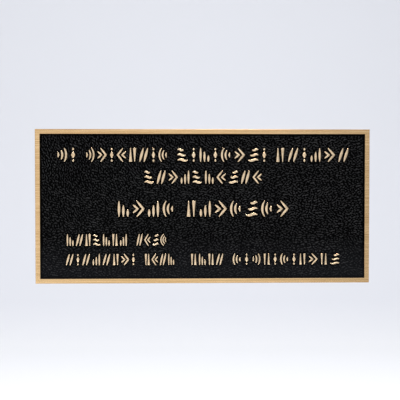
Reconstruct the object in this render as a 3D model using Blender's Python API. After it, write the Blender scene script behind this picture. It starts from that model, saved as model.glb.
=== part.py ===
"""A cast bronze wall plaque: one casting with a raised border, rows of raised strokes and blind stud holes.

Metres, +Z up. The back lies in the plane y = 0, the front faces -Y, and the origin is the middle of the back.
"""

import math
import random
from typing import NamedTuple

import bmesh
import bpy

# The plate
WIDTH = 0.380
HEIGHT = 0.175
FIELD_THICKNESS = 0.0075  # from the back to the recessed field
RELIEF = 0.0025  # from the field out to the faces of the border and the strokes
BORDER_WIDTH = 0.0057
BORDER_DRAFT = 0.0006  # how far the border's inner wall leans over its depth
ARRIS = 0.0004  # softened corner along both edges of the border's face
ARRIS_STEPS = 2

# Blind holes in the back, of the tapping size for M6 studs
STUD_HOLE_DIAMETER = 0.005
STUD_HOLE_FLOOR = 0.002  # metal left between a hole and the field
STUD_INSET = 0.025  # from the plate's edges to a hole's axis
STUD_HOLE_SIDES = 32

# The strokes
STROKE_TIP = 0.0008  # width of a stroke's narrow ends
STROKE_DRAFT = 0.0003  # how much wider a stroke is at its root, on each side
STROKE_ROOT = 0.001  # how far a stroke reaches into the plate
FIGURE_GAP = 0.36  # share of an even cell left between two figures
ORDER_SEED = 11

BRONZE_COLOUR = (0.62, 0.40, 0.19, 1.0)
PAINT_COLOUR = (0.010, 0.010, 0.011, 1.0)
BRONZE_SLOT = 0
PAINT_SLOT = 1


class Group(NamedTuple):
    """Figures set close together: the space before them, their width and their number."""

    space: float
    width: float
    figures: int


class Row(NamedTuple):
    """A row's base line, from the middle of the plate up, its height, its strokes' width and its groups."""

    base: float
    height: float
    thick: float
    groups: tuple


WORD_SPACE = 0.0112
WIDE_SPACE = 0.0146
LONG_SPACE = 0.0192
INDENT = 0.0010  # the fourth row starts this far inside the fifth
FOURTH_ROW = 3

ROWS = (
    Row(
        base=0.0507,
        height=0.0154,
        thick=0.0026,
        groups=(
            Group(0, 0.0215, 2),
            Group(WORD_SPACE, 0.0927, 8),
            Group(WORD_SPACE, 0.1013, 8),
            Group(WORD_SPACE, 0.0825, 6),
        ),
    ),
    Row(base=0.0258, height=0.0148, thick=0.0026, groups=(Group(0, 0.1330, 10),)),
    Row(
        base=-0.0116,
        height=0.0178,
        thick=0.0029,
        groups=(Group(0, 0.0636, 4), Group(WIDE_SPACE, 0.1152, 7)),
    ),
    Row(
        base=-0.0445,
        height=0.0131,
        thick=0.0019,
        groups=(Group(0, 0.0679, 7), Group(WORD_SPACE, 0.0335, 4)),
    ),
    Row(
        base=-0.0665,
        height=0.0125,
        thick=0.0018,
        groups=(
            Group(0, 0.0782, 8),
            Group(WORD_SPACE, 0.0331, 4),
            Group(LONG_SPACE, 0.0366, 4),
            Group(WORD_SPACE, 0.1216, 11),
        ),
    ),
)

THICKNESS = FIELD_THICKNESS + RELIEF
NEAR = 1e-6


class Stroke(NamedTuple):
    """A raised mark: its centre line and its half width, both as functions of t from 0 to 1."""

    line: object
    half_width: object
    steps: int


def straight(start, end):
    """A centre line from one point to another."""

    def line(t):
        return (
            start[0] + (end[0] - start[0]) * t,
            start[1] + (end[1] - start[1]) * t,
        )

    return line


def arc(centre_x, middle, radius, height):
    """A centre line that bulges to +X, with its two ends this height apart."""
    half_angle = math.asin(height / 2 / radius)

    def line(t):
        angle = half_angle * (2 * t - 1)
        return centre_x + radius * math.cos(angle), middle + radius * math.sin(angle)

    return line


def chevron(ends_x, point_x, middle, height):
    """A centre line bent at its middle, with its point towards +X."""

    def line(t):
        return ends_x + (point_x - ends_x) * (1 - abs(2 * t - 1)), middle + height * (t - 0.5)

    return line


def wave(left, right, middle, swing):
    """A centre line of one full wave."""

    def line(t):
        return left + (right - left) * t, middle + swing * math.sin(2 * math.pi * t)

    return line


def spindle(width):
    """Half widths of a stroke that is widest at its middle."""

    def half_width(t):
        swell = math.sin(math.pi * min(max(t, 0.0), 1.0))
        return (STROKE_TIP + (width - STROKE_TIP) * swell) / 2

    return half_width


def wedge(width):
    """Half widths of a stroke that narrows evenly from a broad head at its start."""

    def half_width(t):
        narrowing = 1 - min(max(t, 0.0), 1.0)
        return (STROKE_TIP + (width - STROKE_TIP) * narrowing) / 2

    return half_width


def rising_bars(width, height, thick):
    """Three upright bars on the base line, each taller than the last."""
    swell = min(thick, width * 0.24)
    return [
        Stroke(straight((width * x, 0), (width * x, height * share)), spindle(swell), 3)
        for x, share in ((0.1, 0.46), (0.5, 0.73), (0.9, 1.0))
    ]


def opposed_wedges(width, height, thick):
    """Two upright wedges, one with its head at the top and one with its head at the base."""
    left, right = width * 0.2, width * 0.8
    head = min(thick * 1.35, width * 0.46)
    return [
        Stroke(straight((left, height), (left, 0)), wedge(head), 2),
        Stroke(straight((right, 0), (right, height)), wedge(head), 2),
    ]


def leaning_pair(width, height, thick):
    """Two bars that lean side by side."""
    lean = width * 0.42
    swell = min(thick * 1.15, width * 0.3)
    return [
        Stroke(straight((foot, 0), (foot + lean, height)), spindle(swell), 3)
        for foot in (width * 0.04, width * 0.54)
    ]


def ripples(width, height, thick):
    """Three arcs about one centre, each taller than the last."""
    centre = -width * 0.35
    swell = min(thick, width * 0.2)
    return [
        Stroke(arc(centre, height / 2, width * reach - centre, height * share), spindle(swell), steps)
        for reach, share, steps in ((0.2, 0.36, 2), (0.57, 0.68, 4), (0.94, 1.0, 5))
    ]


def nested_chevrons(width, height, thick):
    """A small chevron inside a large one."""
    swell = min(thick, width * 0.22)
    return [
        Stroke(chevron(0, width * 0.44, height / 2, height * 0.5), spindle(swell), 4),
        Stroke(chevron(width * 0.34, width * 0.94, height / 2, height), spindle(swell * 1.1), 4),
    ]


def lozenge_column(width, height, thick):
    """A large lozenge between two small ones, one over another."""
    middle = width / 2
    small = min(thick * 1.1, height * 0.16)
    return [
        Stroke(
            straight((middle, height * (level - share / 2)), (middle, height * (level + share / 2))),
            spindle(swell),
            2,
        )
        for level, share, swell in ((0.08, 0.16, small), (0.5, 0.46, width * 0.85), (0.92, 0.16, small))
    ]


def stacked_waves(width, height, thick):
    """Three waves, one over another, each shorter than the one below."""
    swell = min(thick * 0.95, height * 0.2)
    return [
        Stroke(wave(0, width * reach, height * level, height * 0.05), spindle(swell), 5)
        for reach, level in ((1.0, 0.12), (0.8, 0.5), (0.6, 0.88))
    ]


# Each figure, its width as a share of an even cell, and whether it may be turned left for right
FIGURES = (
    (rising_bars, 0.95, True),
    (opposed_wedges, 0.74, True),
    (leaning_pair, 0.95, False),
    (ripples, 0.95, True),
    (nested_chevrons, 0.95, True),
    (lozenge_column, 0.45, False),
    (stacked_waves, 1.0, True),
)


def outline(stroke, grow, place):
    """The stroke's outline as points (x, z), grown on every side, on the plate's own axes."""
    length = sum(
        math.dist(stroke.line(i / stroke.steps), stroke.line((i + 1) / stroke.steps))
        for i in range(stroke.steps)
    )
    reach = grow / length
    step = 1e-3
    left = []
    right = []
    for i in range(stroke.steps + 1):
        t = (1 + 2 * reach) * i / stroke.steps - reach
        x, z = stroke.line(t)
        behind, ahead = stroke.line(t - step), stroke.line(t + step)
        run = math.dist(behind, ahead)
        across = ((behind[1] - ahead[1]) / run, (ahead[0] - behind[0]) / run)
        half = stroke.half_width(t) + grow
        left.append(place(x + across[0] * half, z + across[1] * half))
        right.append(place(x - across[0] * half, z - across[1] * half))
    return left + right[::-1]


def row_length(row):
    return sum(group.space + group.width for group in row.groups)


def placed_strokes():
    """Every stroke of every row, with the function that puts it in its place on the plate."""
    order = random.Random(ORDER_SEED)
    last = None
    for number, row in enumerate(ROWS):
        left = -row_length(row) / 2
        if number == FOURTH_ROW:
            left = -row_length(ROWS[-1]) / 2 + INDENT
        for group in row.groups:
            left += group.space
            chosen = []
            for _ in range(group.figures):
                last = order.choice([figure for figure in FIGURES if figure is not last])
                chosen.append(last)
            parts = sum(share for _, share, _ in chosen) + FIGURE_GAP * (len(chosen) - 1)
            cell = group.width / parts
            x = left
            for draw, share, may_turn in chosen:
                width = cell * share
                flipped = may_turn and order.random() < 0.5
                for stroke in draw(width, row.height, row.thick):
                    yield stroke, placing(x, row.base, width, flipped)
                x += width + cell * FIGURE_GAP
            left += group.width


def placing(left, base, width, flipped):
    def place(x, z):
        return left + (width - x if flipped else x), base + z

    return place


def add_prism(bm, root, face):
    """A closed mark from its root outline to its smaller face outline. Only its face is bare bronze."""
    root_y = -FIELD_THICKNESS + STROKE_ROOT
    root_ring = [bm.verts.new((x, root_y, z)) for x, z in root]
    face_ring = [bm.verts.new((x, -THICKNESS, z)) for x, z in face]
    faces = [bm.faces.new(root_ring), bm.faces.new(face_ring)]
    for i in range(len(root_ring)):
        j = (i + 1) % len(root_ring)
        faces.append(bm.faces.new((root_ring[i], root_ring[j], face_ring[j], face_ring[i])))
    for made in faces:
        made.material_index = PAINT_SLOT
    faces[1].material_index = BRONZE_SLOT
    bmesh.ops.recalc_face_normals(bm, faces=faces)


def strokes_mesh():
    bm = bmesh.new()
    for stroke, place in placed_strokes():
        add_prism(bm, outline(stroke, STROKE_DRAFT, place), outline(stroke, 0, place))
    return bm


def is_painted(face):
    """True for the recessed field and the border's inner wall."""
    centre = face.calc_center_median()
    inside = (
        abs(centre.x) < WIDTH / 2 - BORDER_WIDTH + NEAR
        and abs(centre.z) < HEIGHT / 2 - BORDER_WIDTH + NEAR
    )
    return inside and -THICKNESS + ARRIS < centre.y < -NEAR


def plate_mesh():
    """The plate with its sunk field and drafted, softened border."""
    bm = bmesh.new()
    bmesh.ops.create_cube(bm, size=1)
    bmesh.ops.scale(bm, vec=(WIDTH, THICKNESS, HEIGHT), verts=bm.verts)
    bmesh.ops.translate(bm, vec=(0, -THICKNESS / 2, 0), verts=bm.verts)
    front = min(bm.faces, key=lambda face: face.calc_center_median().y)
    bmesh.ops.inset_individual(bm, faces=[front], thickness=BORDER_WIDTH, use_even_offset=True)
    field = bmesh.ops.extrude_discrete_faces(bm, faces=[front])["faces"][0]
    for vert in field.verts:
        vert.co.x -= math.copysign(BORDER_DRAFT, vert.co.x)
        vert.co.z -= math.copysign(BORDER_DRAFT, vert.co.z)
        vert.co.y += RELIEF
    rims = [
        edge
        for edge in bm.edges
        if all(vert.co.y < -THICKNESS + NEAR for vert in edge.verts)
        and min(abs(edge.verts[0].co.x - edge.verts[1].co.x), abs(edge.verts[0].co.z - edge.verts[1].co.z)) < NEAR
    ]
    bmesh.ops.bevel(bm, geom=rims, offset=ARRIS, segments=ARRIS_STEPS, profile=0.5, affect="EDGES")
    bmesh.ops.recalc_face_normals(bm, faces=bm.faces)
    for face in bm.faces:
        face.material_index = PAINT_SLOT if is_painted(face) else BRONZE_SLOT
    return bm


def stud_holes_mesh():
    """Four flat-ended plugs, one for each blind hole."""
    bm = bmesh.new()
    depth = FIELD_THICKNESS - STUD_HOLE_FLOOR
    for side in (-1, 1):
        for level in (-1, 1):
            plug = bmesh.ops.create_cone(
                bm,
                cap_ends=True,
                segments=STUD_HOLE_SIDES,
                radius1=STUD_HOLE_DIAMETER / 2,
                radius2=STUD_HOLE_DIAMETER / 2,
                depth=depth * 2,
            )["verts"]
            turn = ((1, 0, 0), (0, 0, -1), (0, 1, 0))
            for vert in plug:
                vert.co = [sum(row[i] * vert.co[i] for i in range(3)) for row in turn]
                vert.co.x += side * (WIDTH / 2 - STUD_INSET)
                vert.co.z += level * (HEIGHT / 2 - STUD_INSET)
    return bm


def material(name, colour, metallic, roughness):
    made = bpy.data.materials.new(name)
    made.use_nodes = True
    shader = made.node_tree.nodes["Principled BSDF"]
    shader.inputs["Base Color"].default_value = colour
    shader.inputs["Metallic"].default_value = metallic
    shader.inputs["Roughness"].default_value = roughness
    made.diffuse_color = colour
    return made


def add_object(name, bm, collection, materials):
    mesh = bpy.data.meshes.new(name)
    bm.to_mesh(mesh)
    bm.free()
    for made in materials:
        mesh.materials.append(made)
    obj = bpy.data.objects.new(name, mesh)
    collection.objects.link(obj)
    return obj


def combine(target, other, operation):
    """A Boolean on the target, with the other object kept as a hidden helper."""
    other.hide_render = True
    other.display_type = "WIRE"
    boolean = target.modifiers.new(other.name, "BOOLEAN")
    boolean.object = other
    boolean.operation = operation
    boolean.solver = "EXACT"


def new_collection(name):
    collection = bpy.data.collections.new(name)
    bpy.context.scene.collection.children.link(collection)
    return collection


def main():
    for obj in list(bpy.data.objects):
        bpy.data.objects.remove(obj)
    parts = new_collection("bronze_time_capsule_plaque")
    helpers = new_collection("cutters")
    finishes = (
        material("cast_bronze", BRONZE_COLOUR, 1.0, 0.35),
        material("black_field_paint", PAINT_COLOUR, 0.0, 0.4),
    )
    plaque = add_object("bronze_plaque", plate_mesh(), parts, finishes)
    strokes = add_object("raised_strokes", strokes_mesh(), helpers, finishes)
    holes = add_object("stud_holes", stud_holes_mesh(), helpers, finishes)
    combine(plaque, strokes, "UNION")
    combine(plaque, holes, "DIFFERENCE")


main()
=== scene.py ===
"""The looks of a cast bronze wall plaque: linished bronze, a pebbled black field and raised strokes.

Metres, +Z up. The plaque's back lies in the plane y = 0 and its front faces -Y.
"""

import math

import bmesh
import bpy
import numpy as np
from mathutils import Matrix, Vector, kdtree, noise


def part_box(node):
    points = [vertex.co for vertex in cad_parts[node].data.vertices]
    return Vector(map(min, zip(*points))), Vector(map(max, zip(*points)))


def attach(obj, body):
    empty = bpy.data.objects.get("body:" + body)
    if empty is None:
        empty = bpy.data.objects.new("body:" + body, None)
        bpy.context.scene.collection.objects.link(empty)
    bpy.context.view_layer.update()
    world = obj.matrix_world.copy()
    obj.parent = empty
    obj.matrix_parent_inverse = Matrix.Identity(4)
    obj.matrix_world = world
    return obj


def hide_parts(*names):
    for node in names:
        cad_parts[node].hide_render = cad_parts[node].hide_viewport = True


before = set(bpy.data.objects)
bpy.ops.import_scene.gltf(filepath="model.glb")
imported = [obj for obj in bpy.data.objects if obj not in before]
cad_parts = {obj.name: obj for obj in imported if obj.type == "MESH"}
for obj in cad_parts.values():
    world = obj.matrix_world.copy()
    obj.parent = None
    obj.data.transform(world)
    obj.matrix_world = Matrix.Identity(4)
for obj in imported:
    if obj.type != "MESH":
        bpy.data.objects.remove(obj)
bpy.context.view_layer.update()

NODE = "bronze_plaque"
BODY = "root"
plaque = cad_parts[NODE]
LOW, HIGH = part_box(NODE)
FRONT = LOW.y

# The casting, as the solid has it
BORDER_WIDTH = 0.0057
RELIEF = 0.0025
BORDER_DRAFT = 0.0006
ARRIS = 0.0004
FIELD = FRONT + RELIEF
FIELD_HALF_X = HIGH.x - BORDER_WIDTH - BORDER_DRAFT
FIELD_HALF_Z = HIGH.z - BORDER_WIDTH - BORDER_DRAFT

# Reading and shading the solid
WELD = 1e-6
SLACK = 1e-5  # what is this close to a level lies on it
FACING_FRONT = -0.99  # the normal's y on a face that looks straight forward
FLAT_ANGLE = math.radians(0.5)
SOFT_ANGLE = math.radians(50)  # a bend below this looks rounded
POCKET_DEPTH = 0.0012  # how far the body is sunk below the field, for the slab and the strokes
BRONZE, PAINT, AS_CAST, FILED_SHADED = range(4)  # a piece's finishes, in the order of its materials

# The strokes
STROKE_ARRIS = 0.00009
ARC_MIDDLE = 0.3  # of the arris, from each flat to the middle of its curve
STROKE_DRAFT = 0.0003
STROKE_ROOT = 0.0006  # how far a stroke's foot is sunk below the field
FOOT_SHARE = 0.8  # of the draft, where a stroke's side meets the field
CURVE_STEPS = 4
CORNER_ANGLE = math.radians(40)
MITRE_LIMIT = 2.5  # the furthest that a corner moves, for each unit that its edges move

# The field's slab
GRID_PITCH = 0.00045
FIELD_TRIANGLES = 190000
SLAB_DEPTH = 0.0009  # from the field's level to the slab's back
SLAB_LAP = 0.00005  # how far the slab reaches into the border's wall
SLAB_HALF_X = FIELD_HALF_X + SLAB_LAP
SLAB_HALF_Z = FIELD_HALF_Z + SLAB_LAP
COLUMNS = round(2 * SLAB_HALF_X / GRID_PITCH)
ROWS = round(2 * SLAB_HALF_Z / GRID_PITCH)
CREST = "crest"  # the field's attribute for how near a point is to a ridge's top
CREST_ANGLE = math.radians(60)  # a bend below this is shaded smooth

# The field's grain: ridges, broken across at intervals
GRAIN_SEED = 5
GRAIN_RISE = 0.0007
GRAIN_PITCH = 0.0027  # from one crease to the next
GRAIN_LENGTH = 0.0013  # how far a ridge of the grain keeps its course
RIDGE_RANGE = (-0.7, 1.2)  # the wave's heights at the foot and at the top of a ridge
BREAK_PITCH = 0.0040  # from one break in a ridge to the next
BREAK_RANGE = (-1.4, 0.0)  # the wave's heights in the middle and at the end of a break
BREAK_DEPTH = 0.8  # how much of a ridge's height a break takes away
GRAIN_LEAN = math.radians(-65)  # the grain lies level low on the right and leans over high on the left
LEAN_RANGE = (0.0, 0.8)  # where the lean starts and is full, with 0 the middle and 1 the upper left corner
GRAIN_SWIRL = math.radians(40)  # the most that a bend in the grain turns it
GRAIN_BEND = 0.025  # the size of the bends
GRAIN_SCATTER = math.radians(28)
PITCH_SCATTER = (0.85, 1.15)
PACKET_SPACING = 0.6  # of the waves' pitch
PACKET_WIDTH = 0.8  # of the waves' pitch
PACKET_REACH = 2  # of a packet's own size, to where it has faded out

# Beside the strokes and the border
CALM_WIDTH = 0.0015  # the grain sinks to nothing over this
EDGE_SPACING = CALM_WIDTH / 6  # between the points that stand for an edge
FILLET_RISE = 0.00035  # how far the field turns up against them
FILLET_WIDTH = 0.0006

# Noises below are in changes to a metre, on all axes or along X, Y and Z
NOISE_RANGE = (0.3, 0.7)  # where most of a noise's values lie

# Bare bronze: its darker lines, its lighter lines and its warmer patches
BORDER_COLOURS = (0.62, 0.39, 0.17, 1), (0.89, 0.62, 0.33, 1), (0.70, 0.42, 0.20, 1)
# The strokes' colours are a paler copy of the border's bronze: painted light, so that the strokes look
# more brightly lit
LIT_STROKE_COLOURS = (0.78, 0.56, 0.33, 1), (0.93, 0.74, 0.50, 1), (0.82, 0.58, 0.36, 1)
# The sides' and outer arrises' bronze is darker partly as a duller filed finish and partly as painted
# shade along the plaque's edges
SHADED_SIDE_COLOURS = (0.36, 0.22, 0.10, 1), (0.52, 0.34, 0.17, 1), (0.40, 0.23, 0.11, 1)
LINISHED_ROUGHNESS = 0.2
FILED_ROUGHNESS = 0.34
ROUGHNESS_SPREAD = 0.1
BELT_STREAKS = (9, 60, 900)
STREAK_HEIGHT = 0.00008
BELT_LINES = (40, 200, 4200)
LINE_HEIGHT = 0.00003
WARM_PATCHES = 26.0
WARM_RANGE = (0.35, 0.75)
WARM_SHARE = 0.22

# Black paint
PAINT_SPECULAR = 0.016
# The crease colour is painted shade; the top colours are painted sheen on the ridges, with some rubbed
# wear
PAINT_CREASE_SHADE = (0.0002, 0.0002, 0.0002, 1)
PAINT_TOP_SHEEN = (0.0060, 0.0060, 0.0063, 1)
PAINT_TOP_SHEEN_GREY = (0.0160, 0.0160, 0.0166, 1)
PAINT_ROUGHNESS = (0.18, 0.26)
PAINT_PATCHES = 30.0
SHADE_AND_RUB_RANGE = (0.3, 0.95)  # of the way up a ridge
PAINT_GRIT = 2600.0
GRIT_HEIGHT = 0.00006
PAINT_WRINKLES = 1000.0
WRINKLE_HEIGHT = 0.00015
# Painted sheen: the field's paint turns greyer and bluer towards the bottom, for the light it catches
# there
PAINTED_LOW_SHEEN = (0.0085, 0.0090, 0.0105, 1)
LOW_SHEEN_HEIGHTS = (-0.035, -0.075)  # where the painted sheen starts and where it is strongest
LOW_SHEEN_SHARE = 0.32

# The back as cast
BACK_DARK = (0.13, 0.072, 0.036, 1)
BACK_LIGHT = (0.36, 0.22, 0.11, 1)
BACK_STAIN = (0.10, 0.075, 0.055, 1)
BACK_PIT = (0.08, 0.052, 0.034, 1)
BACK_CLOUDS = 16.0
CLOUD_RANGE = (0.36, 0.64)
CLOUD_ROUGHNESS = (0.72, 0.48)
CLOUD_HEIGHT = 0.0012
BACK_STAINS = (40, 40, 75)
STAIN_RANGE = (0.55, 0.68)
STAIN_SHARE = 0.55
BACK_SAND = 700.0
PIT_RANGE = (0.35, 0.6)
PIT_SHARE = 0.6
SAND_HEIGHT = 0.0004

# The paper floor and backdrop
FLOOR_LEVEL = -0.62
SWEEP_START = 2.4
SWEEP_RADIUS = 1.0
SWEEP_STEPS = 24
SWEEP_TOP = 3.4
STAGE_HALF_WIDTH = 14.0
STAGE_FRONT = -14.0
FLOOR_COLOUR = (0.86, 0.86, 0.86, 1)
# The wall's grey is painted shade, darker than the floor's white as if less lit
WALL_SHADE_COLOUR = (0.758, 0.763, 0.785, 1)
NEAR_COLOUR = (0.69, 0.69, 0.69, 1)
NEAR_RANGE = (0.4, 1.5)  # the stretch of y over which the near grey turns into the floor's white
CURVE_RANGE = (2.48, 2.86)  # the stretch of y over which that turns into the wall's grey
PAPER_ROUGHNESS = 0.9

# The lights. FROM is azimuth and elevation in degrees and a distance, all from the plaque's middle
FRONT_FROM = (-18, -15, 2.2)
FRONT_SIZE = (2.6, 1.8)
FRONT_POWER = 6.4
KEY_FROM = (2, 46, 1.6)
KEY_SIZE = (0.8, 0.6)
KEY_POWER = 45
LOW_PLACE = (0.1, -0.5, -0.6)
LOW_AIM = (0.05, 0, -0.04)
LOW_SIZE = (2.0, 0.7)
LOW_POWER = 6.0
LOW_COLOUR = (0.92, 0.96, 1.0)
BACK_PLACE = (0.0, 1.0, 2.2)
BACK_AIM = (0, 1.0, FLOOR_LEVEL)
BACK_SIZE = (4.0, 0.6)
BACK_POWER = 50
WHITE = (1, 1, 1)
WORLD_COLOUR = (0.88, 0.91, 1.0, 1)
WORLD_LIGHT = 0.6

# The camera, for a picture of 400 x 400 pixels, with its angles in degrees
LENS = 85
CAMERA_AZIMUTH = -1.862
CAMERA_ELEVATION = 1.794
CAMERA_DISTANCE = 1.0828
CAMERA_TARGET = Vector((-0.0033, 0.0, 0.0069))


def new_object(name, data):
    obj = bpy.data.objects.new(name, data)
    bpy.context.scene.collection.objects.link(obj)
    return obj


def modified(bm, kind, **settings):
    """A mesh with one modifier applied to it."""
    mesh = bpy.data.meshes.new("unmodified")
    bm.to_mesh(mesh)
    bm.free()
    obj = new_object("unmodified", mesh)
    modifier = obj.modifiers.new("modifier", kind)
    for setting, value in settings.items():
        setattr(modifier, setting, value)
    evaluated = obj.evaluated_get(bpy.context.evaluated_depsgraph_get())
    made = bpy.data.meshes.new_from_object(evaluated)
    bpy.data.objects.remove(obj)
    return made


def close_at(bm, level):
    """Carries an open mesh's rim straight back to a level, and closes it there."""
    rim = [edge for edge in bm.edges if edge.is_boundary]
    skirt = bmesh.ops.extrude_edge_only(bm, edges=rim)["geom"]
    for item in skirt:
        if isinstance(item, bmesh.types.BMVert):
            item.co.y = level
    bmesh.ops.contextual_create(bm, geom=[edge for edge in bm.edges if edge.is_boundary])


def add_piece(name, mesh, materials):
    """A piece of the plaque, which rides on its one body and stands for its one solid."""
    for made in materials:
        mesh.materials.append(made)
    piece = new_object(name, mesh)
    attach(piece, BODY)
    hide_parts(NODE)


# Materials


class Shader:
    """A material whose nodes are added by short calls."""

    def __init__(self, name, **values):
        self.material = bpy.data.materials.new(name)
        self.material.use_nodes = True
        self.tree = self.material.node_tree
        self.principled = self.tree.nodes["Principled BSDF"]
        for socket, value in values.items():
            self.principled.inputs[socket.replace("_", " ")].default_value = value
        self.place = self.tree.nodes.new("ShaderNodeTexCoord").outputs["Object"]

    def link(self, source, target):
        self.tree.links.new(source, target)

    def put(self, socket, value):
        """Feeds a socket from another node's output, or sets it to a plain value."""
        if isinstance(value, bpy.types.NodeSocket):
            self.link(value, socket)
        else:
            socket.default_value = value

    def node(self, kind, **inputs):
        made = self.tree.nodes.new(kind)
        for socket, value in inputs.items():
            self.put(made.inputs[socket.replace("_", " ")], value)
        return made

    def set(self, socket, source):
        self.link(source, self.principled.inputs[socket])

    def stretched(self, scale):
        """The object's own coordinates, scaled on each axis."""
        return self.node("ShaderNodeMapping", Vector=self.place, Scale=scale).outputs["Vector"]

    def along(self, axis):
        """One of the object's own coordinates."""
        return self.node("ShaderNodeSeparateXYZ", Vector=self.place).outputs[axis]

    def noise(self, vector, scale=1.0, detail=2.0, roughness=0.5):
        made = self.node("ShaderNodeTexNoise", Vector=vector, Scale=scale, Detail=detail)
        made.inputs["Roughness"].default_value = roughness
        return made.outputs["Fac"]

    def spread(self, value, low, high, to_low=0.0, to_high=1.0):
        """The value's range from low to high, mapped to another range."""
        made = self.tree.nodes.new("ShaderNodeMapRange")
        for socket, put in zip(made.inputs, (value, low, high, to_low, to_high)):
            self.put(socket, put)
        return made.outputs["Result"]

    def mixed(self, factor, first, second):
        made = self.tree.nodes.new("ShaderNodeMix")
        made.data_type = "RGBA"
        self.put(made.inputs["Factor"], factor)
        for socket, colour in (("A", first), ("B", second)):
            self.put(next(s for s in made.inputs if s.name == socket and s.type == "RGBA"), colour)
        return next(s for s in made.outputs if s.type == "RGBA")

    def bump(self, height, strength, distance, normal=None):
        made = self.node("ShaderNodeBump", Height=height, Strength=strength, Distance=distance)
        if normal is not None:
            self.link(normal, made.inputs["Normal"])
        return made.outputs["Normal"]


def linished_bronze(name, dark, light, warm, rough):
    """Bare bronze rubbed along X on a belt, so its fine lines run level over the whole face."""
    shader = Shader(name, Metallic=1.0)
    streaks = shader.noise(shader.stretched(BELT_STREAKS), detail=3.0, roughness=0.6)
    lines = shader.noise(shader.stretched(BELT_LINES), detail=2.0, roughness=0.6)
    patches = shader.noise(shader.place, WARM_PATCHES)
    streaked = shader.mixed(shader.spread(streaks, *NOISE_RANGE), dark, light)
    warmth = shader.spread(patches, *WARM_RANGE, 0.0, WARM_SHARE)
    shader.set("Base Color", shader.mixed(warmth, streaked, warm))
    shader.set("Roughness", shader.spread(lines, *NOISE_RANGE, rough, rough + ROUGHNESS_SPREAD))
    coarse = shader.bump(streaks, strength=0.25, distance=STREAK_HEIGHT)
    shader.set("Normal", shader.bump(lines, strength=0.35, distance=LINE_HEIGHT, normal=coarse))
    return shader.material


def field_paint():
    """Satin black paint over the grained casting: darker in the creases as painted shade, greyer on the
    ridges as painted sheen and rubbed wear.
    """
    shader = Shader("field_paint", Specular_IOR_Level=PAINT_SPECULAR)
    grit = shader.noise(shader.place, PAINT_GRIT, detail=3.0, roughness=0.6)
    wrinkles = shader.noise(shader.place, PAINT_WRINKLES, detail=3.0, roughness=0.6)
    patches = shader.noise(shader.place, PAINT_PATCHES)
    crest = shader.tree.nodes.new("ShaderNodeAttribute")
    crest.attribute_name = CREST
    # Painted shade in the creases and painted sheen with rubbed wear on the ridges, by how near a point is
    # to a ridge's top
    shade_and_rub = shader.spread(crest.outputs["Fac"], *SHADE_AND_RUB_RANGE)
    top = shader.mixed(patches, PAINT_TOP_SHEEN, PAINT_TOP_SHEEN_GREY)
    # Painted sheen, lighter towards the bottom of the field
    low_sheen = shader.spread(shader.along("Z"), *LOW_SHEEN_HEIGHTS, 0.0, LOW_SHEEN_SHARE)
    shader.set("Base Color", shader.mixed(low_sheen, shader.mixed(shade_and_rub, PAINT_CREASE_SHADE, top), PAINTED_LOW_SHEEN))
    shader.set("Roughness", shader.spread(grit, *NOISE_RANGE, *PAINT_ROUGHNESS))
    wrinkled = shader.bump(wrinkles, strength=0.4, distance=WRINKLE_HEIGHT)
    shader.set("Normal", shader.bump(grit, strength=0.35, distance=GRIT_HEIGHT, normal=wrinkled))
    return shader.material


def cast_back():
    """Bronze as it left the sand: dull, brown and grainy, with darker clouds of oxide."""
    shader = Shader("cast_back", Metallic=1.0)
    sand = shader.noise(shader.place, BACK_SAND, detail=5.0, roughness=0.7)
    clouds = shader.noise(shader.place, BACK_CLOUDS, detail=5.0, roughness=0.62)
    stains = shader.noise(shader.stretched(BACK_STAINS), detail=4.0, roughness=0.6)
    clouded = shader.mixed(shader.spread(clouds, *CLOUD_RANGE), BACK_DARK, BACK_LIGHT)
    stain = shader.spread(stains, *STAIN_RANGE, 0.0, STAIN_SHARE)
    pit = shader.spread(sand, *PIT_RANGE, PIT_SHARE, 0.0)
    shader.set("Base Color", shader.mixed(pit, shader.mixed(stain, clouded, BACK_STAIN), BACK_PIT))
    shader.set("Roughness", shader.spread(clouds, *CLOUD_RANGE, *CLOUD_ROUGHNESS))
    uneven = shader.bump(clouds, strength=0.5, distance=CLOUD_HEIGHT)
    shader.set("Normal", shader.bump(sand, strength=0.8, distance=SAND_HEIGHT, normal=uneven))
    return shader.material


def paper():
    """Matt paper: pale grey near the plaque and where it has curved up, and white in between; the grey of
    the curve and wall is painted shade, for a wall lit less than the floor.
    """
    shader = Shader("backdrop", Roughness=PAPER_ROUGHNESS, Specular_IOR_Level=0.0)
    depth = shader.along("Y")
    floor = shader.mixed(shader.spread(depth, *NEAR_RANGE), NEAR_COLOUR, FLOOR_COLOUR)
    shader.set("Base Color", shader.mixed(shader.spread(depth, *CURVE_RANGE), floor, WALL_SHADE_COLOUR))
    return shader.material


# The strokes


def on_stroke(face):
    """True for the flat top of a raised stroke."""
    centre = face.calc_center_median()
    inside = abs(centre.x) < FIELD_HALF_X and abs(centre.z) < FIELD_HALF_Z
    return inside and abs(centre.y - FRONT) < SLACK and face.normal.y < FACING_FRONT


def area_of(ring):
    """The ring's area, positive where it runs anticlockwise."""
    return sum(a.cross(b) for a, b in zip(ring, ring[1:] + ring[:1])) / 2


def stroke_outlines():
    """The outline of each stroke's top, read from the solid, as rings of (x, z) points."""
    bm = bmesh.new()
    bm.from_mesh(plaque.data)
    bmesh.ops.remove_doubles(bm, verts=bm.verts, dist=WELD)
    others = [face for face in bm.faces if not on_stroke(face)]
    bmesh.ops.delete(bm, geom=others, context="FACES")
    bmesh.ops.dissolve_faces(bm, faces=list(bm.faces))
    rings = [[Vector((vert.co.x, vert.co.z)) for vert in face.verts] for face in bm.faces]
    bm.free()
    rings = [ring if area_of(ring) > 0 else ring[::-1] for ring in rings]
    return sorted(rings, key=lambda ring: (round(-ring[0].y, 4), ring[0].x))


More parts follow.
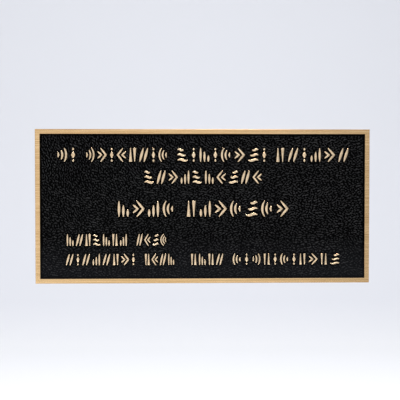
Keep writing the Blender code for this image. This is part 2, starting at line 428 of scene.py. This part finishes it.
def curve_point(before, start, end, after, t):
    """A point of the Catmull-Rom curve from start to end."""
    return 0.5 * (
        start * 2
        + (end - before) * t
        + (before * 2 - start * 5 + end * 4 - after) * t**2
        + (start * 3 - before - end * 3 + after) * t**3
    )


def smoothed(ring):
    """The ring with smooth curves through its shallow bends, and its corners kept."""
    count = len(ring)
    turns = []
    for i in range(count):
        before, after = ring[i] - ring[i - 1], ring[(i + 1) % count] - ring[i]
        turns.append(abs(before.angle_signed(after)))
    corner = [turn > CORNER_ANGLE for turn in turns]
    points = []
    for i in range(count):
        start, end = ring[i], ring[(i + 1) % count]
        before = ring[i - 1] if not corner[i] else start * 2 - end
        after = ring[(i + 2) % count] if not corner[(i + 1) % count] else end * 2 - start
        steps = 1 if corner[i] and corner[(i + 1) % count] else CURVE_STEPS
        for step in range(steps):
            points.append(curve_point(before, start, end, after, step / steps))
    return points


def grown(ring, distance):
    """The ring moved outwards by a distance, or inwards by a negative one."""
    made = []
    count = len(ring)
    for i in range(count):
        before = (ring[i] - ring[i - 1]).normalized()
        after = (ring[(i + 1) % count] - ring[i]).normalized()
        normal = Vector((before.y + after.y, -before.x - after.x))
        length = max(normal.length / 2, 1 / MITRE_LIMIT)
        made.append(ring[i] + normal.normalized() * distance / length)
    return made


def strokes_mesh(rings):
    """Every stroke as a closed mark with a softened arris, drafted sides and a foot below the field."""
    bm = bmesh.new()
    levels = (
        (-STROKE_ARRIS, FRONT),
        (-STROKE_ARRIS * ARC_MIDDLE, FRONT + STROKE_ARRIS * ARC_MIDDLE),
        (0.0, FRONT + STROKE_ARRIS),
        (STROKE_DRAFT, FIELD + STROKE_ROOT),
    )
    drafted = len(levels) - 2
    for ring in rings:
        loops = [
            [bm.verts.new((point.x, y, point.y)) for point in grown(ring, distance)]
            for distance, y in levels
        ]
        bm.faces.new(loops[0])
        bm.faces.new(loops[-1][::-1])
        for number, (upper, lower) in enumerate(zip(loops, loops[1:])):
            for i in range(len(ring)):
                j = (i + 1) % len(ring)
                face = bm.faces.new((upper[j], upper[i], lower[i], lower[j]))
                face.smooth = True
                face.material_index = PAINT if number == drafted else BRONZE
    bmesh.ops.recalc_face_normals(bm, faces=bm.faces)
    mesh = bpy.data.meshes.new("raised_strokes")
    bm.to_mesh(mesh)
    bm.free()
    mesh.set_sharp_from_angle(angle=SOFT_ANGLE)
    return mesh


# The field


def eased(share):
    """A share from 0 to 1, with an easy start and end."""
    return share * share * (3 - 2 * share)


def smooth_step(value, low, high):
    """0 up to low, 1 from high on and eased between them, for one number."""
    return eased(min(max((value - low) / (high - low), 0.0), 1.0))


def smooth_steps(values, low, high):
    """The same for an array of numbers."""
    return eased(np.clip((values - low) / (high - low), 0, 1))


def grain_angle(x, z):
    """The way that the grain's ridges run at a place on the field."""
    up_left = (z / FIELD_HALF_Z - x / FIELD_HALF_X) / 2
    swirl = noise.noise(Vector((x, z, 0)) / GRAIN_BEND)
    return GRAIN_LEAN * smooth_step(up_left, *LEAN_RANGE) + GRAIN_SWIRL * swirl


def waves(turn, pitch):
    """Evenly spaced waves on the field's grid, that follow the grain turned by an angle.

    They are the sum of many short wave packets, each lying along the grain at its place.
    """
    rng = np.random.default_rng(GRAIN_SEED)
    step_x, step_z = 2 * SLAB_HALF_X / COLUMNS, 2 * SLAB_HALF_Z / ROWS
    reach = round(PACKET_REACH * max(GRAIN_LENGTH, pitch * PACKET_WIDTH) / step_x)
    sums = np.zeros((ROWS + 1 + 2 * reach, COLUMNS + 1 + 2 * reach))
    cells = np.arange(-reach, reach + 1)
    across, up = np.meshgrid(cells * step_x, cells * step_z)
    spacing = pitch * PACKET_SPACING
    for z in np.arange(-SLAB_HALF_Z, SLAB_HALF_Z, spacing):
        for x in np.arange(-SLAB_HALF_X, SLAB_HALF_X, spacing):
            shift_x, shift_z, phase = rng.uniform(0, 1, 3)
            angle = grain_angle(x, z) + turn + rng.normal() * GRAIN_SCATTER
            column = int((x + shift_x * spacing + SLAB_HALF_X) / step_x)
            row = int((z + shift_z * spacing + SLAB_HALF_Z) / step_z)
            if column > COLUMNS or row > ROWS:
                continue
            along = across * math.cos(angle) + up * math.sin(angle)
            over = (up * math.cos(angle) - across * math.sin(angle)) / pitch
            fade = np.exp(-((along / GRAIN_LENGTH) ** 2) - (over / PACKET_WIDTH) ** 2)
            packet = fade * np.cos(2 * math.pi * (over * rng.uniform(*PITCH_SCATTER) + phase))
            sums[row : row + 2 * reach + 1, column : column + 2 * reach + 1] += packet
    inside = sums[reach:-reach, reach:-reach]
    return inside / inside.std()


def grain_shares():
    """The cast leather grain on the field's grid, from 0 in the creases to 1 on the ridges."""
    ridges = smooth_steps(waves(0, GRAIN_PITCH), *RIDGE_RANGE)
    breaks = smooth_steps(waves(math.pi / 2, BREAK_PITCH), *BREAK_RANGE)
    return ridges * (1 - BREAK_DEPTH + BREAK_DEPTH * breaks)


def edge_tree(rings):
    """A search tree of points along every stroke's foot."""
    points = []
    for ring in rings:
        foot = grown(ring, STROKE_DRAFT * FOOT_SHARE)
        for a, b in zip(foot, foot[1:] + foot[:1]):
            steps = max(1, math.ceil((b - a).length / EDGE_SPACING))
            points += [a.lerp(b, i / steps) for i in range(steps)]
    tree = kdtree.KDTree(len(points))
    for number, point in enumerate(points):
        tree.insert((point.x, 0, point.y), number)
    tree.balance()
    return tree


def field_height(x, z, share, tree):
    """How far the field stands proud of its level, and how near that is to a ridge's top, from 0 to 1."""
    wall = min(FIELD_HALF_X - abs(x), FIELD_HALF_Z - abs(z))
    nearest = min(wall, tree.find((x, 0, z))[2])
    calmed = share * smooth_step(nearest, 0.0, CALM_WIDTH)
    fillet = FILLET_RISE * math.exp(-max(nearest, 0.0) / FILLET_WIDTH)
    return GRAIN_RISE * calmed + fillet, calmed


def field_mesh(rings):
    """The pebbled field as a closed slab, with a fine grid on its front."""
    bm = bmesh.new()
    bmesh.ops.create_grid(bm, x_segments=COLUMNS, y_segments=ROWS, size=1)
    crest = bm.verts.layers.float.new(CREST)
    tree = edge_tree(rings)
    shares = grain_shares()
    # The new grid runs from -1 to 1 both ways
    for vert in bm.verts:
        column, row = round((vert.co.x + 1) / 2 * COLUMNS), round((vert.co.y + 1) / 2 * ROWS)
        x, z = vert.co.x * SLAB_HALF_X, vert.co.y * SLAB_HALF_Z
        height, vert[crest] = field_height(x, z, shares[row, column], tree)
        vert.co = (x, FIELD - height, z)
    bmesh.ops.triangulate(bm, faces=bm.faces)
    thinned = modified(bm, "DECIMATE", ratio=FIELD_TRIANGLES / len(bm.faces))
    bm = bmesh.new()
    bm.from_mesh(thinned)
    close_at(bm, FIELD + SLAB_DEPTH)
    bmesh.ops.recalc_face_normals(bm, faces=bm.faces)
    mesh = bpy.data.meshes.new("pebbled_field")
    bm.to_mesh(mesh)
    bm.free()
    mesh.shade_smooth()
    mesh.set_sharp_from_angle(angle=CREST_ANGLE)
    return mesh


# The body of the casting


def bare_copy(mesh):
    """A copy of a mesh without the fixed normals that it was saved with."""
    bare = bpy.data.meshes.new("bare")
    points = [vert.co for vert in mesh.vertices]
    bare.from_pydata(points, [], [list(face.vertices) for face in mesh.polygons])
    return bare


def in_pocket(face):
    """True for the solid's own field and strokes, which the other two pieces stand for."""
    return face.calc_center_median().y < FIELD + SLACK and all(
        abs(vert.co.x) < FIELD_HALF_X + SLACK and abs(vert.co.z) < FIELD_HALF_Z + SLACK
        for vert in face.verts
    )


def body_finish(face):
    """The finish of one face of the casting."""
    centre = face.calc_center_median()
    within_border = abs(centre.x) < HIGH.x - BORDER_WIDTH and abs(centre.z) < HIGH.z - BORDER_WIDTH
    in_stud_hole = within_border and centre.y > FIELD + POCKET_DEPTH + SLACK
    if centre.y > -SLACK or in_stud_hole:
        return AS_CAST
    if centre.y <= FRONT + SLACK:
        return BRONZE
    past_field = max(abs(centre.x) - FIELD_HALF_X, abs(centre.z) - FIELD_HALF_Z)
    # The outer sides and arrises take the darker bronze, partly painted shade
    return PAINT if past_field < BORDER_DRAFT + ARRIS else FILED_SHADED


def body_mesh():
    """The solid's own back, edges and border, with a plain pocket where the field and strokes go."""
    bm = bmesh.new()
    bm.from_mesh(bare_copy(plaque.data))
    bmesh.ops.remove_doubles(bm, verts=bm.verts, dist=WELD)
    bmesh.ops.delete(bm, geom=[face for face in bm.faces if in_pocket(face)], context="FACES")
    close_at(bm, FIELD + POCKET_DEPTH)
    bmesh.ops.dissolve_limit(bm, angle_limit=FLAT_ANGLE, verts=bm.verts, edges=bm.edges)
    bmesh.ops.recalc_face_normals(bm, faces=bm.faces)
    for face in bm.faces:
        face.material_index = body_finish(face)
        face.smooth = True
    for edge in bm.edges:
        edge.smooth = edge.calc_face_angle(0.0) < SOFT_ANGLE
    # Large flat faces keep their own normals, so only the narrow arrises look rounded
    return modified(bm, "WEIGHTED_NORMAL", weight=100, keep_sharp=True)


# The room


def facing(direction):
    """The rotation of a light or camera that looks along a direction."""
    return direction.to_track_quat("-Z", "Y").to_euler()


def toward(azimuth, elevation, distance):
    """A place seen from the plaque's middle: azimuth 0 is straight in front, and grows to the right."""
    a, e = math.radians(azimuth), math.radians(elevation)
    return Vector((math.sin(a) * math.cos(e), -math.cos(a) * math.cos(e), math.sin(e))) * distance


def add_stage():
    """A pale floor that curves up into a backdrop, well behind the plaque."""
    profile = [(STAGE_FRONT, FLOOR_LEVEL)]
    for i in range(SWEEP_STEPS + 1):
        angle = math.pi / 2 * i / SWEEP_STEPS
        y = SWEEP_START + SWEEP_RADIUS * math.sin(angle)
        z = FLOOR_LEVEL + SWEEP_RADIUS * (1 - math.cos(angle))
        profile.append((y, z))
    profile.append((SWEEP_START + SWEEP_RADIUS, SWEEP_TOP))
    verts = [(x, y, z) for y, z in profile for x in (-STAGE_HALF_WIDTH, STAGE_HALF_WIDTH)]
    faces = [(2 * i, 2 * i + 1, 2 * i + 3, 2 * i + 2) for i in range(len(profile) - 1)]
    mesh = bpy.data.meshes.new("backdrop")
    mesh.from_pydata(verts, [], faces)
    mesh.shade_smooth()
    mesh.materials.append(paper())
    new_object("backdrop", mesh)


def add_light(name, place, aim, size, power, colour=WHITE):
    """A rectangular light of a width and height, that shines from a place at a point."""
    data = bpy.data.lights.new(name, "AREA")
    data.shape = "RECTANGLE"
    data.size, data.size_y = size
    data.energy = power
    data.color = colour
    light = new_object(name, data)
    light.location = place
    light.rotation_euler = facing(Vector(aim) - Vector(place))


def add_lights():
    """Soft boxes in front, above and below the plaque, one for the backdrop, and a pale blue sky."""
    middle = (0, 0, 0)
    add_light("front_box", toward(*FRONT_FROM), middle, FRONT_SIZE, FRONT_POWER)
    add_light("key_box", toward(*KEY_FROM), middle, KEY_SIZE, KEY_POWER)
    add_light("low_fill", LOW_PLACE, LOW_AIM, LOW_SIZE, LOW_POWER, LOW_COLOUR)
    add_light("backdrop_light", BACK_PLACE, BACK_AIM, BACK_SIZE, BACK_POWER)
    world = bpy.data.worlds.new("studio")
    world.use_nodes = True
    background = world.node_tree.nodes["Background"]
    background.inputs["Color"].default_value = WORLD_COLOUR
    background.inputs["Strength"].default_value = WORLD_LIGHT
    bpy.context.scene.world = world


def add_camera():
    """The camera, almost straight in front of the plaque."""
    data = bpy.data.cameras.new("camera")
    data.lens = LENS
    camera = new_object("camera", data)
    back = toward(CAMERA_AZIMUTH, CAMERA_ELEVATION, 1.0)
    camera.location = CAMERA_TARGET + back * CAMERA_DISTANCE
    camera.rotation_euler = facing(-back)
    bpy.context.scene.camera = camera


def main():
    border = linished_bronze("border_bronze", *BORDER_COLOURS, LINISHED_ROUGHNESS)
    # A lighter copy of the border bronze, as painted light on the strokes
    lit_pale = linished_bronze("lit_stroke_bronze", *LIT_STROKE_COLOURS, LINISHED_ROUGHNESS)
    side = linished_bronze("shaded_side_bronze", *SHADED_SIDE_COLOURS, FILED_ROUGHNESS)
    paint, rough_back = field_paint(), cast_back()
    rings = [smoothed(ring) for ring in stroke_outlines()]
    add_piece("cast_body", body_mesh(), (border, paint, rough_back, side))
    add_piece("pebbled_field", field_mesh(rings), (paint,))
    add_piece("raised_strokes", strokes_mesh(rings), (lit_pale, paint))
    add_stage()
    add_lights()
    add_camera()
    bpy.context.scene.view_settings.view_transform = "Standard"


main()
